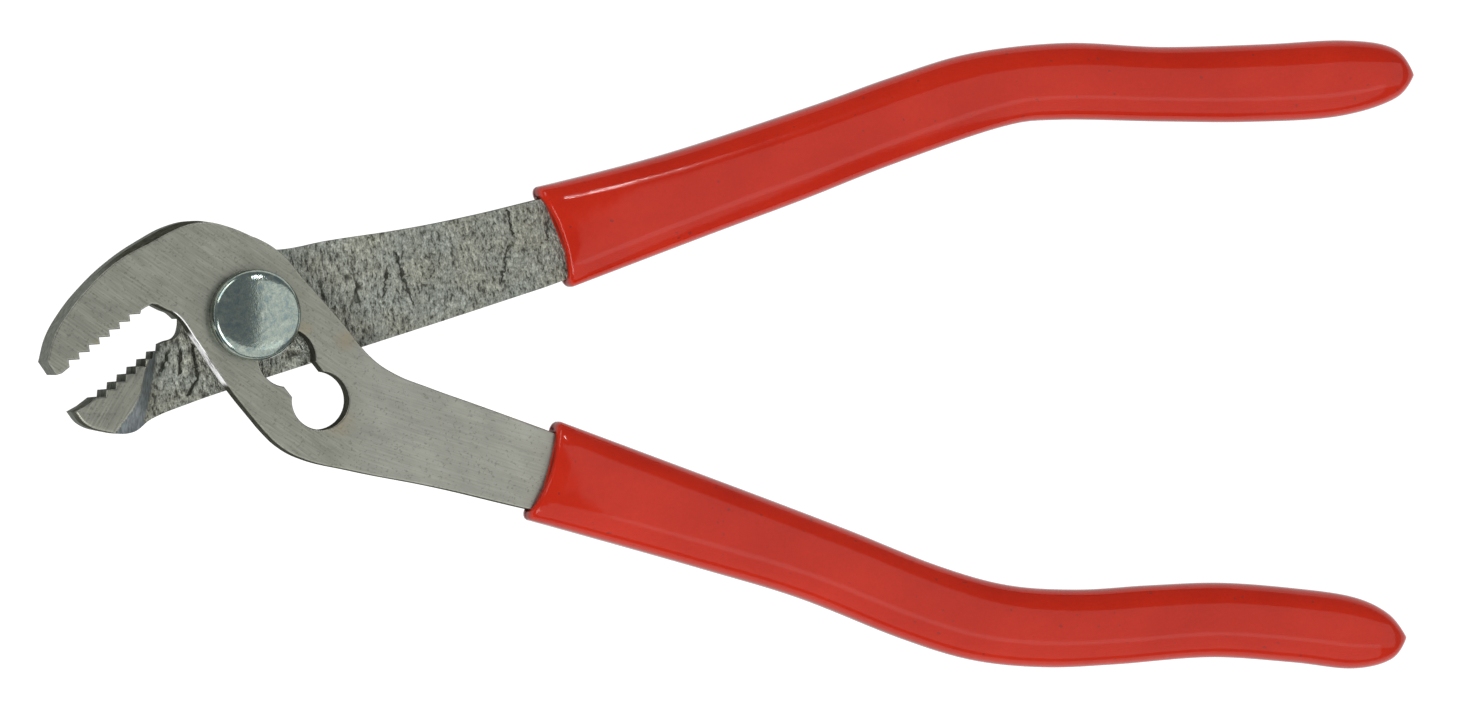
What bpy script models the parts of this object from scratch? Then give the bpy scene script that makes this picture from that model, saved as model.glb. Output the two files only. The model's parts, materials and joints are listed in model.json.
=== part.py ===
"""Small multi-position pliers: two steel levers, dipped grips, a pivot bolt and its nut.

The tool lies flat with its jaws towards -X and the front lever's face towards +Z.
Outlines are in millimetres from the pivot's axis, and every object's origin is on that axis.
"""
import math

import bmesh
import bpy

MM = 0.001

# Place of the pivot's axis, which puts the middle of the tool's box at x = y = 0.
PIVOT_X = -44.35
PIVOT_Y = 3.45

# Heights: the nut and both grips stand on z = 0.
PLATE = 2.3
LEVER_GAP = 0.3
REAR_BACK = 2.0
REAR_FACE = REAR_BACK + PLATE
FRONT_BACK = REAR_FACE + LEVER_GAP
FRONT_FACE = FRONT_BACK + PLATE

# Slot in the front lever: three round seats joined by narrower necks.
SEAT_RADIUS = 2.54
SEAT_PITCH = 4.785
SEAT_COUNT = 3
NECK_HALF_WIDTH = 1.78
SLOT_ANGLE = math.radians(-51.57)

# Pivot hardware.
HEAD_RADIUS = 4.0
HEAD_GAP = 0.3
SHOULDER_RADIUS = 2.35
FLAT_HALF_WIDTH = 1.62
THREAD_RADIUS = 1.6
BORE_RADIUS = 1.85
NUT_ACROSS_FLATS = 6.35
NUT_THICKNESS = 1.7
NUT_BORE_RADIUS = 1.9

# Rear lever's boss and the step in the front jaw that clears it.
BOSS_RADIUS = 6.1
STEP_RADIUS = 6.5
STEP_SIDE = -6.0
STEP_TOP = 12.0

# Foot and crest of the slope between the rear lever's face and its thicker jaw.
SHOULDER_FOOT = [(-8.3, -1.5), (-8.6, -6.3), (-9.9, -12.0)]
SHOULDER_CREST = [(-9.3, -1.5), (-10.0, -6.3), (-12.7, -12.0)]

# Grips: a rounded bar with a pocket for the lever's tang.
GRIP_THICKNESS = 5.2
GRIP_ROUND = 2.0
GRIP_ROUND_STEPS = 1
POCKET_GAP = 0.3

# Each handle eases down behind the neck until its grip's middle is at GRIP_MIDDLE.
EASE_START = 28.0
EASE_END = 74.0
EASE_STEP = 4.0
GRIP_MIDDLE = GRIP_THICKNESS / 2

CURVE_STEPS = 3
GRIP_CURVE_STEPS = 2
ROUND_STEPS = 36

# How far a cutter runs past a face, and how far a wide cutter reaches past the whole tool.
CUT_MARGIN = 2.0
CUT_REACH = 120.0

TOOTH_COUNT = 8
UPPER_TOOTH_STEP = (0.894, 0.663)
LOWER_TOOTH_STEP = (0.869, 0.668)

# Tangs, the hidden ends of the levers, from the neck round the end and back to the neck.
FRONT_TANG = [
    (24.4, -17.0), (30.0, -18.2), (35.2, -19.6), (41.0, -21.2), (50.0, -23.9), (59.2, -27.4),
    (65.9, -29.5), (72.5, -30.2), (79.0, -30.0), (88.0, -29.4), (95.7, -29.8), (100.0, -30.1),
    (101.6, -28.4), (100.0, -26.4), (95.7, -25.7), (89.0, -25.1), (82.4, -25.3), (75.8, -25.6),
    (69.2, -25.2), (62.6, -23.4), (54.5, -20.4), (46.6, -17.5), (35.2, -13.4), (26.8, -10.3),
]
REAR_TANG = [
    (28.0, 2.95), (35.8, 6.1), (50.2, 11.4), (62.2, 16.1), (68.6, 18.1), (74.0, 18.8),
    (83.5, 18.6), (91.7, 18.6), (99.5, 19.2), (102.2, 21.4), (99.0, 23.5), (93.0, 23.2),
    (83.5, 22.8), (74.5, 23.2), (65.8, 22.1), (58.5, 19.9), (45.0, 15.3), (33.0, 11.9),
    (25.9, 10.15),
]

FRONT_GRIP = [
    (16.0, -5.2), (27.4, -9.3), (35.2, -12.1), (46.6, -16.2), (54.5, -19.1), (62.6, -22.2),
    (69.2, -24.0), (75.8, -24.45), (82.4, -24.1), (89.0, -23.9), (95.7, -24.4), (101.3, -25.2),
    (104.6, -26.7), (106.4, -28.9), (104.9, -30.9), (101.3, -31.7), (95.7, -31.1),
    (88.0, -30.6), (79.1, -31.2), (72.5, -31.4), (65.9, -30.7), (59.2, -28.7), (49.8, -25.1),
    (40.9, -22.5), (29.7, -19.4), (16.0, -15.6),
]
REAR_GRIP = [
    (16.0, 8.8), (26.7, 11.5), (37.7, 14.3), (51.1, 18.6), (58.5, 21.2), (65.8, 23.4),
    (74.5, 24.4), (83.5, 24.1), (93.0, 24.4), (100.6, 24.8), (105.2, 24.1), (107.1, 21.7),
    (105.2, 19.5), (99.8, 17.9), (91.7, 17.4), (83.5, 17.4), (74.0, 17.5), (68.6, 16.8),
    (58.5, 13.4), (50.2, 10.2), (41.4, 7.0), (29.1, 2.4), (16.0, -2.5),
]
FRONT_MOUTH = [(27.3, -8.0), (26.9, -10.4), (26.0, -13.4), (24.9, -16.2), (24.0, -19.0)]
REAR_MOUTH = [(25.6, 13.0), (26.2, 10.2), (27.6, 7.9), (28.4, 4.5), (28.8, 1.0)]

# Ends of the pocket cutters, well outside the mouths.
FRONT_POCKET_END = [(16.0, -6.4), (16.0, -15.0)]
REAR_POCKET_END = [(16.0, 8.0), (16.0, -0.9)]


def collection(name):
    """Return a new collection that is linked to the scene."""
    group = bpy.data.collections.new(name)
    bpy.context.scene.collection.children.link(group)
    return group


def smooth(points):
    """Mark outline points that the curve passes through smoothly."""
    return [(x, y, "AUTO") for x, y in points]


def corner(points):
    """Mark outline points where the outline turns sharply."""
    return [(x, y, "VECTOR") for x, y in points]


def arc(radius, start, end, count):
    """Points on a circle about the pivot, between two angles in degrees."""
    angles = [math.radians(start + (end - start) * i / (count - 1)) for i in range(count)]
    return [(radius * math.cos(a), radius * math.sin(a)) for a in angles]


def plate(name, outline, bottom, top, group, offset=0.0, rounding=0.0, steps=CURVE_STEPS):
    """Fill an outline and give it a thickness, as a closed mesh object on the pivot's axis."""
    curve = bpy.data.curves.new(name, "CURVE")
    curve.dimensions = "2D"
    curve.fill_mode = "BOTH"
    curve.extrude = ((top - bottom) / 2 - rounding) * MM
    curve.offset = (offset - rounding) * MM
    curve.bevel_depth = rounding * MM
    curve.bevel_resolution = GRIP_ROUND_STEPS
    spline = curve.splines.new("BEZIER")
    spline.bezier_points.add(len(outline) - 1)
    spline.use_cyclic_u = True
    spline.resolution_u = steps
    for point, (x, y, handle) in zip(spline.bezier_points, outline):
        point.co = (x * MM, y * MM, 0)
        point.handle_left_type = handle
        point.handle_right_type = handle
    shape = bpy.data.objects.new(name + "_outline", curve)
    group.objects.link(shape)
    piece = baked(name, shape, group)
    for vertex in piece.data.vertices:
        vertex.co.z += (top + bottom) / 2 * MM
    return piece


def baked(name, shape, group):
    """Replace an object by its evaluated, welded mesh, under a new name and at the same place."""
    bpy.context.view_layer.update()
    evaluated = shape.evaluated_get(bpy.context.evaluated_depsgraph_get())
    mesh = bpy.data.meshes.new_from_object(evaluated)
    body = bmesh.new()
    body.from_mesh(mesh)
    bmesh.ops.remove_doubles(body, verts=body.verts, dist=0.001 * MM)
    bmesh.ops.dissolve_degenerate(body, edges=body.edges, dist=0.001 * MM)
    bmesh.ops.recalc_face_normals(body, faces=body.faces)
    body.to_mesh(mesh)
    body.free()
    place = shape.matrix_world.copy()
    bpy.data.objects.remove(shape)
    mesh.name = name
    piece = bpy.data.objects.new(name, mesh)
    piece.matrix_world = place
    group.objects.link(piece)
    return piece


def as_cutter(shape):
    """Hide an object from the finished model and keep it for a Boolean."""
    shape.hide_render = True
    shape.display_type = "WIRE"
    return shape


def cut(piece, cutter):
    """Take the cutter's volume away from a piece."""
    modifier = piece.modifiers.new("cut_" + cutter.name, "BOOLEAN")
    modifier.operation = "DIFFERENCE"
    modifier.solver = "EXACT"
    modifier.object = cutter


def rod(name, radius, bottom, top, x, y, sides=ROUND_STEPS):
    """A straight round cutter that stands along Z."""
    bpy.ops.mesh.primitive_cylinder_add(
        vertices=sides, radius=radius * MM, depth=(top - bottom) * MM,
        location=(x * MM, y * MM, (top + bottom) / 2 * MM))
    return owned(name)


def block(name, length, width, bottom, top, x, y, angle):
    """A box cutter whose length lies at an angle in the XY plane."""
    bpy.ops.mesh.primitive_cube_add(
        size=1, location=(x * MM, y * MM, (top + bottom) / 2 * MM), rotation=(0, 0, angle))
    bpy.context.object.scale = (length * MM, width * MM, (top - bottom) * MM)
    return owned(name)


def owned(name):
    """Name the newest object, move it to the cutters and put its place into its mesh."""
    shape = bpy.context.object
    bpy.ops.object.transform_apply(location=True, rotation=True, scale=True)
    shape.name = name
    for group in list(shape.users_collection):
        group.objects.unlink(shape)
    cutters.objects.link(shape)
    return as_cutter(shape)


def turned(name, profile, group):
    """Spin a profile of (radius, height) points, given from top to bottom, about the pivot."""
    mesh = bpy.data.meshes.new(name)
    edges = [(i, i + 1) for i in range(len(profile) - 1)]
    mesh.from_pydata([(r * MM, 0, z * MM) for r, z in profile], edges, [])
    piece = bpy.data.objects.new(name, mesh)
    group.objects.link(piece)
    spin = piece.modifiers.new("spin", "SCREW")
    spin.steps = ROUND_STEPS
    spin.render_steps = ROUND_STEPS
    spin.use_merge_vertices = True
    spin.merge_threshold = 0.001 * MM
    return piece


def ease_handle(piece, middle):
    """Lower the handle smoothly behind the neck, from its middle height to the grips' height."""
    drop = (middle - GRIP_MIDDLE) * MM
    body = bmesh.new()
    body.from_mesh(piece.data)
    count = round((EASE_END - EASE_START) / EASE_STEP)
    for station in range(count + 1):
        x = (EASE_START + (EASE_END - EASE_START) * station / count) * MM
        bmesh.ops.bisect_plane(
            body, geom=body.verts[:] + body.edges[:] + body.faces[:],
            dist=0.001 * MM, plane_co=(x, 0, 0), plane_no=(1, 0, 0))
    for vertex in body.verts:
        share = (vertex.co.x / MM - EASE_START) / (EASE_END - EASE_START)
        share = min(1, max(0, share))
        vertex.co.z -= drop * share * share * (3 - 2 * share)
    body.to_mesh(piece.data)
    body.free()


def finish(piece, colour, roughness, metallic):
    """Give a piece its material, its smooth shading and its place in the tool."""
    material = bpy.data.materials.new(piece.name)
    material.use_nodes = True
    shader = material.node_tree.nodes["Principled BSDF"]
    shader.inputs["Base Color"].default_value = (*colour, 1)
    shader.inputs["Roughness"].default_value = roughness
    shader.inputs["Metallic"].default_value = metallic
    piece.data.materials.clear()
    piece.data.materials.append(material)
    piece.data.shade_smooth()
    piece.data.set_sharp_from_angle(angle=math.radians(35))
    piece.location = (PIVOT_X * MM, PIVOT_Y * MM, 0)


def teeth(first, step, root):
    """Stepped teeth: each tip is followed by its root, and the last tip ends the row."""
    points = []
    for i in range(TOOTH_COUNT):
        tip = (first[0] + i * step[0], first[1] + i * step[1])
        points += [tip, (tip[0] + root[0], tip[1] + root[1])]
    return points[:-1]


def front_lever():
    """Upper jaw, slotted joint plate and lower handle, forged in one piece."""
    outline = (
        corner([(-18.3, -4.1), (-17.5, -5.25), (-17.0, -5.1)])
        + corner(teeth((-16.32, -4.55), UPPER_TOOTH_STEP, (-0.08, 0.6)))
        + corner([(-10.0, 0.4), (-9.7, 0.6), (-9.05, 0.95), (-8.6, 0.9)])
        + smooth([(-7.7, 0.45), (-6.9, 0.1), (-5.1, -2.2), (-3.25, -4.9), (-1.75, -6.95),
                  (-0.15, -8.9), (1.15, -10.4), (2.35, -11.5), (4.15, -12.5), (8.8, -13.65),
                  (16.5, -15.15)])
        + smooth(FRONT_TANG)
        + smooth([(20.5, -8.05), (15.5, -6.3), (12.7, -5.2), (10.7, -3.9), (7.85, -0.6),
                  (4.5, 3.1), (2.2, 5.6), (-0.1, 6.9), (-2.7, 7.9), (-4.8, 8.25), (-6.9, 7.85),
                  (-9.4, 6.6), (-12.3, 4.65), (-14.9, 2.2), (-16.5, 0.2), (-17.7, -1.9)])
    )
    piece = plate("front_lever", outline, REAR_BACK, FRONT_FACE, parts)
    step_outline = corner(
        arc(STEP_RADIUS, 200, 128, 13)
        + [(STEP_SIDE, STEP_TOP), (CUT_REACH, STEP_TOP), (CUT_REACH, -CUT_REACH),
           (STEP_SIDE, -CUT_REACH)])
    step = plate("jaw_step", step_outline, REAR_BACK - CUT_MARGIN, FRONT_BACK, cutters)
    cut(piece, as_cutter(step))
    low = FRONT_BACK - CUT_MARGIN
    high = FRONT_FACE + CUT_MARGIN
    along = (math.cos(SLOT_ANGLE), math.sin(SLOT_ANGLE))
    for seat in range(SEAT_COUNT):
        far = seat * SEAT_PITCH
        cut(piece, rod(f"seat_{seat + 1}", SEAT_RADIUS, low, high, far * along[0], far * along[1]))
    middle = (SEAT_COUNT - 1) / 2 * SEAT_PITCH
    cut(piece, block("slot_necks", 2 * middle, 2 * NECK_HALF_WIDTH, low, high,
                     middle * along[0], middle * along[1], SLOT_ANGLE))
    piece = baked("front_lever", piece, parts)
    ease_handle(piece, (FRONT_BACK + FRONT_FACE) / 2)
    finish(piece, (0.45, 0.45, 0.42), 0.35, 1.0)
    return piece


def rear_lever():
    """Lower jaw, bored boss and upper handle, forged in one piece."""
    outline = (
        corner([(-15.8, -8.45), (-14.9, -7.95)])
        + corner(reversed(teeth((-7.83, -2.53), (-LOWER_TOOTH_STEP[0], -LOWER_TOOTH_STEP[1]),
                                (-0.05, -0.6))))
        + corner([(-7.3, -2.3)])
        + smooth([(-6.4, -1.95)] + arc(BOSS_RADIUS, 190, 95, 6))
        + smooth([(2.6, 5.75), (7.65, 6.6), (14.8, 7.7), (20.5, 8.85)])
        + smooth(reversed(REAR_TANG))
        + smooth([(23.5, 1.45), (10.2, -2.8), (1.9, -5.4), (-5.4, -7.8)])
        + smooth([(-8.6, -9.1), (-10.4, -10.25), (-13.1, -10.15), (-14.9, -9.5)])
    )
    piece = plate("rear_lever", outline, REAR_BACK, FRONT_FACE, parts)
    cut(piece, jaw_shoulder())
    cut(piece, rod("pivot_bore", BORE_RADIUS, 0, FRONT_FACE + CUT_MARGIN, 0, 0))
    piece = baked("rear_lever", piece, parts)
    ease_handle(piece, (REAR_BACK + REAR_FACE) / 2)
    finish(piece, (0.40, 0.40, 0.37), 0.55, 1.0)
    return piece


def jaw_shoulder():
    """Cutter that leaves the lower jaw thick and slopes down to the rear lever's face."""
    high = FRONT_FACE + CUT_MARGIN
    reach = (high - REAR_FACE) / (FRONT_FACE - REAR_FACE)
    far_side = [(CUT_REACH, SHOULDER_FOOT[-1][1]), (CUT_REACH, CUT_REACH),
                (SHOULDER_FOOT[0][0], CUT_REACH)]
    slope_top = [(fx + (cx - fx) * reach, fy + (cy - fy) * reach)
                 for (fx, fy), (cx, cy) in zip(SHOULDER_FOOT, SHOULDER_CREST)]
    body = bmesh.new()
    lower = [body.verts.new((x * MM, y * MM, REAR_FACE * MM)) for x, y in SHOULDER_FOOT + far_side]
    upper = [body.verts.new((x * MM, y * MM, high * MM)) for x, y in slope_top + far_side]
    for i in range(len(lower)):
        j = (i + 1) % len(lower)
        body.faces.new((lower[i], lower[j], upper[j], upper[i]))
    body.faces.new(reversed(lower))
    body.faces.new(upper)
    bmesh.ops.recalc_face_normals(body, faces=body.faces)
    mesh = bpy.data.meshes.new("jaw_shoulder")
    body.to_mesh(mesh)
    body.free()
    shape = bpy.data.objects.new("jaw_shoulder", mesh)
    cutters.objects.link(shape)
    return as_cutter(shape)


def grip(name, outline, mouth, pocket_outline, middle):
    """Dipped plastic grip: a rounded bar, cut off at the mouth, with the tang's pocket."""
    low = middle - GRIP_THICKNESS / 2
    high = middle + GRIP_THICKNESS / 2
    piece = plate(name, smooth(outline), low, high, parts, 0.0, GRIP_ROUND, GRIP_CURVE_STEPS)
    waste = smooth(mouth) + corner([(mouth[-1][0], -CUT_REACH), (-CUT_REACH, -CUT_REACH),
                                    (-CUT_REACH, CUT_REACH), (mouth[0][0], CUT_REACH)])
    cut(piece, as_cutter(plate(name + "_mouth", waste, low - CUT_MARGIN, high + CUT_MARGIN, cutters)))
    pocket = plate(name + "_pocket", smooth(pocket_outline), middle - PLATE / 2 - POCKET_GAP,
                   middle + PLATE / 2 + POCKET_GAP, cutters, POCKET_GAP)
    cut(piece, as_cutter(pocket))
    piece = baked(name, piece, parts)
    ease_handle(piece, middle)
    finish(piece, (0.62, 0.03, 0.02), 0.35, 0.0)
    return piece


def pivot_bolt():
    """Domed head, shoulder with two flats in the slot, and a threaded end for the nut."""
    under_head = FRONT_FACE + HEAD_GAP
    profile = [
        (0, under_head + 1.85), (1.3, under_head + 1.82), (2.4, under_head + 1.73),
        (3.3, under_head + 1.55), (3.75, under_head + 1.3), (HEAD_RADIUS, under_head + 0.85),
        (HEAD_RADIUS, under_head + 0.25), (HEAD_RADIUS - 0.2, under_head),
        (SHOULDER_RADIUS, under_head), (SHOULDER_RADIUS, FRONT_BACK), (THREAD_RADIUS, FRONT_BACK),
        (THREAD_RADIUS, 0.4), (THREAD_RADIUS - 0.3, 0.1), (0, 0.1),
    ]
    piece = turned("pivot_bolt", profile, parts)
    across = (-math.sin(SLOT_ANGLE), math.cos(SLOT_ANGLE))
    for side in (-1, 1):
        far = side * (FLAT_HALF_WIDTH + 1.0)
        cut(piece, block(f"shoulder_flat_{side + 1}", 8.0, 2.0, FRONT_BACK - 0.1, under_head - 0.2,
                         far * across[0], far * across[1], SLOT_ANGLE))
    piece = baked("pivot_bolt", piece, parts)
    finish(piece, (0.72, 0.75, 0.74), 0.2, 1.0)
    return piece


def pivot_nut():
    """Thin hex nut behind the rear lever, with its corners turned off on both sides."""
    corner_radius = NUT_ACROSS_FLATS / 2 / math.cos(math.radians(30))
    flat_radius = NUT_ACROSS_FLATS / 2
    bevel = 0.3
    profile = [
        (0, NUT_THICKNESS), (flat_radius, NUT_THICKNESS), (corner_radius + 0.1, NUT_THICKNESS - bevel),
        (corner_radius + 0.1, bevel), (flat_radius, 0), (0, 0),
    ]
    piece = turned("pivot_nut", profile, parts)
    hexagon = rod("nut_hexagon", corner_radius, -CUT_MARGIN, NUT_THICKNESS + CUT_MARGIN, 0, 0, 6)
    trim = piece.modifiers.new("hexagon", "BOOLEAN")
    trim.operation = "INTERSECT"
    trim.solver = "EXACT"
    trim.object = hexagon
    cut(piece, rod("nut_bore", NUT_BORE_RADIUS, -CUT_MARGIN, NUT_THICKNESS + CUT_MARGIN, 0, 0))
    piece = baked("pivot_nut", piece, parts)
    finish(piece, (0.70, 0.72, 0.70), 0.25, 1.0)
    return piece


for leftover in list(bpy.data.objects):
    bpy.data.objects.remove(leftover)
parts = collection("tongue_and_groove_pliers")
cutters = collection("cutters")

front_lever()
rear_lever()
grip("front_grip", FRONT_GRIP, FRONT_MOUTH, FRONT_TANG + FRONT_POCKET_END,
     (FRONT_BACK + FRONT_FACE) / 2)
grip("rear_grip", REAR_GRIP, REAR_MOUTH, REAR_TANG + REAR_POCKET_END,
     (REAR_BACK + REAR_FACE) / 2)
pivot_bolt()
pivot_nut()
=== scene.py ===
"""Small multi-position pliers: two forged levers, dipped grips, a zinc-plated pivot bolt and its nut.

Outlines are in millimetres from the pivot's axis, jaws towards -X and the front lever's face towards +Z.
"""

import json
import math

import bpy
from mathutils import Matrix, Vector, noise


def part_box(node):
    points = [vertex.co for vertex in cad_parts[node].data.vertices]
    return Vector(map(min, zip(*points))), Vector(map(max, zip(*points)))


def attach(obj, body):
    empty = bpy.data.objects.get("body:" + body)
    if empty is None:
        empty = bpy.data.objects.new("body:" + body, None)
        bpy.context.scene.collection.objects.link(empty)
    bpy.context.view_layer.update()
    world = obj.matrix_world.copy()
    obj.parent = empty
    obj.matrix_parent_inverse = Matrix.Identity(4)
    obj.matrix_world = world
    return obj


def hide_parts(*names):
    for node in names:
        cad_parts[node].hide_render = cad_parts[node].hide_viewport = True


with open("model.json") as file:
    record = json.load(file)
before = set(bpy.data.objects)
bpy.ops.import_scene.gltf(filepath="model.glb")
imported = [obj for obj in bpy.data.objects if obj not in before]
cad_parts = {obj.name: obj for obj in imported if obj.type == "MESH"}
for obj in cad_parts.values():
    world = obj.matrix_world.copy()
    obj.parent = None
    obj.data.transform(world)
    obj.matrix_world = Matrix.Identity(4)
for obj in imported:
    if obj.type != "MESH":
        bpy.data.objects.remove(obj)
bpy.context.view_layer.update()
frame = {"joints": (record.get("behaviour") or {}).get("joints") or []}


# ---------------------------------------------------------------------------------- front lever
# The upper jaw, the slotted joint plate and the lower handle are one drop forging of tool steel.
# Its two faces are belt-ground, its edges are broken on a wheel, and the slot is punched through
# last. The back of the jaw keeps its forged draft and scale.
MM = 0.001
PIVOT = Vector(frame["joints"][1]["pos_m"])

# Heights above the bench. The joint's two plates lie face to face, and the jaws are as deep as both.
FRONT_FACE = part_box("front_lever")[1].z / MM
PLATE = 2.3
LEVER_GAP = 0.3
FRONT_BACK = FRONT_FACE - PLATE
LEVER_BACK = FRONT_BACK - LEVER_GAP - PLATE
FRONT_MIDDLE = (FRONT_BACK + FRONT_FACE) / 2

# EDGE is the radius of the broken edges. Cutters run FAR past the tool and OVERSHOOT past a face.
EDGE = 0.14
FAR = 60.0
OVERSHOOT = 2.0

SEAT_RADIUS = 2.54
SEAT_PITCH = 4.785
SEAT_COUNT = 3
SEAT_STEPS = 14
END_SEAT_STEPS = 40
NECK_HALF_WIDTH = 1.78
SLOT_ANGLE = math.radians(-51.57)

# Behind the jaw the lever is cut away to its plate, round the rear lever's boss.
STEP_RADIUS = 6.42
STEP_LEFT = -6.0
STEP_TOP = 12.0

UPPER_TIP = [(-18.3, -4.1), (-17.5, -5.25), (-17.0, -5.1)]
UPPER_TEETH = 8
UPPER_FIRST = (-16.32, -4.55)
UPPER_PITCH = (0.894, 0.663)
UPPER_ROOT = (-0.08, 0.6)
UPPER_HEEL = [(-10.0, 0.4), (-9.7, 0.6), (-9.05, 0.95), (-8.6, 0.9)]
FRONT_THROAT = [
    (-7.7, 0.45), (-6.9, 0.1), (-5.1, -2.2), (-3.25, -4.9), (-1.75, -6.95), (-0.15, -8.9),
    (1.15, -10.4), (2.35, -11.5), (4.15, -12.5), (8.8, -13.65), (16.5, -15.15),
]
FRONT_TANG = [
    (24.4, -17.0), (30.0, -18.2), (35.2, -19.6), (41.0, -21.2), (50.0, -23.9), (59.2, -27.4),
    (65.9, -29.5), (72.5, -30.2), (79.0, -30.0), (88.0, -29.4), (95.7, -29.8), (100.0, -30.1),
    (101.6, -28.4), (100.0, -26.4), (95.7, -25.7), (89.0, -25.1), (82.4, -25.3), (75.8, -25.6),
    (69.2, -25.2), (62.6, -23.4), (54.5, -20.4), (46.6, -17.5), (35.2, -13.4), (26.8, -10.3),
]
FRONT_BACK_EDGE = [
    (20.5, -8.05), (15.5, -6.3), (12.7, -5.2), (10.7, -3.9), (7.85, -0.6), (4.5, 3.1),
    (2.2, 5.6), (-0.1, 6.9), (-2.7, 7.9), (-4.8, 8.25), (-6.9, 7.85), (-9.4, 6.6),
    (-12.3, 4.65), (-14.9, 2.2), (-16.5, 0.2), (-17.7, -1.9),
]

# Each handle eases down behind its neck until its grip lies on the bench.
EASE_START = 28.0
EASE_END = 74.0
HANDLE_CUTS = [EASE_START + (EASE_END - EASE_START) * i / 16 for i in range(17)]
GRIP_THICKNESS = 5.2

# The jaw's back leans in towards its face above the forging's parting line, most at DRAFT_AT.
DRAFT_CENTRE = Vector((-7.5, -1.5))
DRAFT_CLEAR = 7.2
DRAFT_START = FRONT_BACK + 0.5
DRAFT_AT = Vector((-8.2, 7.0))
DRAFT_REACH = 5.5
DRAFT_DEPTH = 0.36
DRAFT_LEAST = 0.05

# Each stain's place, its inner and outer reach, and its strength.
STAINS = [
    ((8.2, -2.2), 0.3, 1.4, 0.55), ((4.6, -1.2), 0.2, 1.0, 0.5),
    ((7.6, -9.4), 0.4, 2.0, 0.45), ((-13.9, -2.6), 0.1, 0.7, 0.5),
]

# Places where the walls are rubbed grey, and where they are painted near white in the throat: the
# ground patch at BRIGHT_WALL is painted white as its glint, and the broken edge at BRIGHT_EDGE gets a
# painted highlight. A face is a wall when its normal's upright part is below WALL_LIMIT, and the
# broken edge at BRIGHT_EDGE counts as wall too.
RUBBED_TIP = (-17.0, -1.5)
BRIGHT_WALL = (-3.9, -3.9)
BRIGHT_EDGE = (-5.7, -1.6)
BRIGHT_EDGE_REACH = 2.6
WALL_LIMIT = 0.45
BRIGHT_EDGE_LIMIT = 0.9


def deselect():
    """Leave object mode with nothing selected."""
    if bpy.context.object and bpy.context.object.mode != "OBJECT":
        bpy.ops.object.mode_set(mode="OBJECT")
    bpy.ops.object.select_all(action="DESELECT")


def pick(piece):
    """Make one piece the selected and active object."""
    deselect()
    piece.select_set(True)
    bpy.context.view_layer.objects.active = piece


def smooth(points):
    """Outline points that the edge passes through smoothly."""
    return [(x, y, "AUTO") for x, y in points]


def corner(points):
    """Outline points where the edge turns sharply."""
    return [(x, y, "VECTOR") for x, y in points]


def arc(radius, start, end, count, centre=(0.0, 0.0)):
    """Points on a circle, between two angles in degrees."""
    angles = [math.radians(start + (end - start) * i / (count - 1)) for i in range(count)]
    return [(centre[0] + radius * math.cos(a), centre[1] + radius * math.sin(a)) for a in angles]


def teeth(first, pitch, root, count):
    """Stepped teeth: each tip is followed by its root, and the last tip ends the row."""
    points = []
    for i in range(count):
        tip = (first[0] + i * pitch[0], first[1] + i * pitch[1])
        points += [tip, (tip[0] + root[0], tip[1] + root[1])]
    return points[:-1]


def blank(name, outlines, bottom, top, edge=0.0, steps=10):
    """Solid steel blank: flat outlines given a thickness, with their edges broken by a radius."""
    curve = bpy.data.curves.new(name, "CURVE")
    curve.dimensions = "2D"
    curve.fill_mode = "BOTH"
    curve.extrude = ((top - bottom) / 2 - edge) * MM
    curve.offset = -edge * MM
    curve.bevel_depth = edge * MM
    curve.bevel_resolution = 2
    for outline in outlines:
        spline = curve.splines.new("BEZIER")
        spline.bezier_points.add(len(outline) - 1)
        spline.use_cyclic_u = True
        spline.resolution_u = steps
        for point, (x, y, handle) in zip(spline.bezier_points, outline):
            point.co = (x * MM, y * MM, 0)
            point.handle_left_type = handle
            point.handle_right_type = handle
    piece = bpy.data.objects.new(name, curve)
    piece.location = (PIVOT.x, PIVOT.y, (bottom + top) / 2 * MM)
    bpy.context.scene.collection.objects.link(piece)
    pick(piece)
    bpy.ops.object.convert(target="MESH")
    bpy.ops.object.transform_apply(location=True, rotation=True, scale=True)
    close_mesh()
    return piece


def close_mesh():
    """Weld the active mesh and turn its faces outward."""
    bpy.ops.object.mode_set(mode="EDIT")
    bpy.ops.mesh.select_all(action="SELECT")
    bpy.ops.mesh.remove_doubles(threshold=0.001 * MM)
    bpy.ops.mesh.dissolve_degenerate(threshold=0.0005 * MM)
    bpy.ops.mesh.normals_make_consistent(inside=False)
    bpy.ops.object.mode_set(mode="OBJECT")


def combine(piece, other, operation):
    """Cut another solid from a piece, or keep what the two share, and drop the other."""
    pick(piece)
    modifier = piece.modifiers.new("shape", "BOOLEAN")
    modifier.operation = operation
    modifier.solver = "EXACT"
    modifier.object = other
    bpy.ops.object.modifier_apply(modifier=modifier.name)
    bpy.data.objects.remove(other)
    close_mesh()


def bisect_at(piece, places, direction):
    """Cut the mesh into strips across X at places in mm from the pivot, or across Z at heights."""
    pick(piece)
    bpy.ops.object.mode_set(mode="EDIT")
    for place in places:
        bpy.ops.mesh.select_all(action="SELECT")
        point = PIVOT + Vector(direction) * place * MM
        if direction[2]:
            point.z = place * MM
        bpy.ops.mesh.bisect(plane_co=point, plane_no=direction, use_fill=False)
    bpy.ops.object.mode_set(mode="OBJECT")


def eased(share):
    """Smooth step from 0 to 1."""
    share = min(1.0, max(0.0, share))
    return share * share * (3 - 2 * share)


def lower_handle(piece, middle):
    """Bring the handle down behind its neck, from its middle height to half a grip's thickness."""
    drop = middle - GRIP_THICKNESS / 2
    for vertex in piece.data.vertices:
        x = (vertex.co.x - PIVOT.x) / MM
        vertex.co.z -= drop * MM * eased((x - EASE_START) / (EASE_END - EASE_START))


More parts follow.
